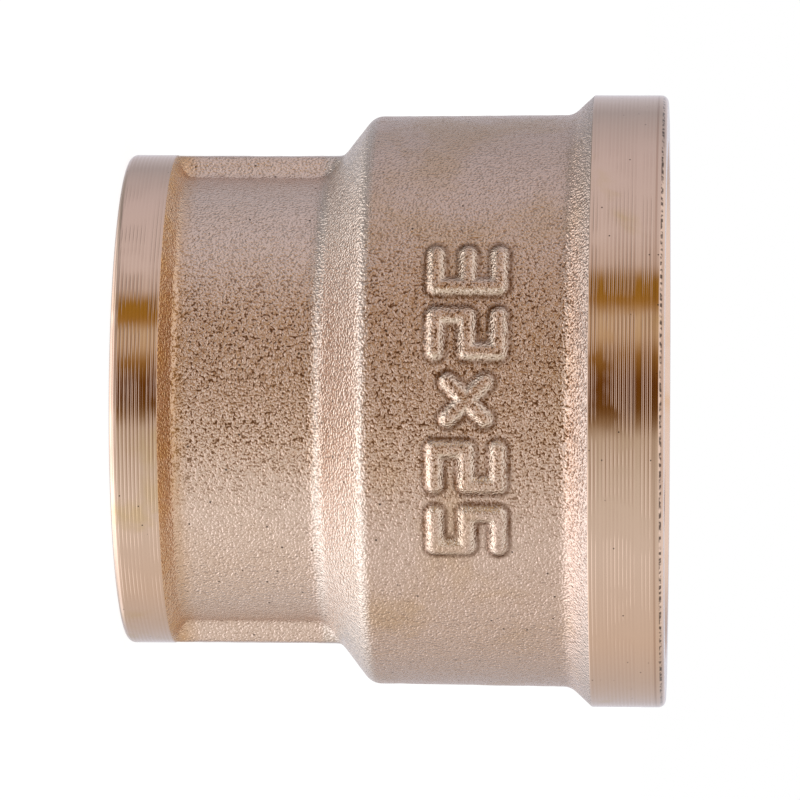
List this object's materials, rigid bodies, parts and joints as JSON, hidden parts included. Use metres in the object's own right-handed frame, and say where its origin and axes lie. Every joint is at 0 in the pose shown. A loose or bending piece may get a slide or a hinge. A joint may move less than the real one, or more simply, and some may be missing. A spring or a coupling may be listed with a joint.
{
  "type": "reducing coupling",
  "caption": "One-piece cast brass reducing coupling, female thread at both ends, machined end collars, ribbed small barrel and conical shoulder.",
  "frame": {"origin": "centre of the small end face, which is also the bottom centre of the bounding box: the coupling stands on its small end", "axes": "+Z along the axis from the small end to the large end; the raised size mark faces -Y; the two moulding ribs lie on +X and -X"},
  "size_m": [0.05, 0.05, 0.044],
  "materials": {
    "cast_brass": "shot-blasted as-cast skin, with fine-turned collars, end faces and threads"
  },
  "bodies": {
    "root": {"coupling_body": "cast_brass"}
  },
  "joints": []
}
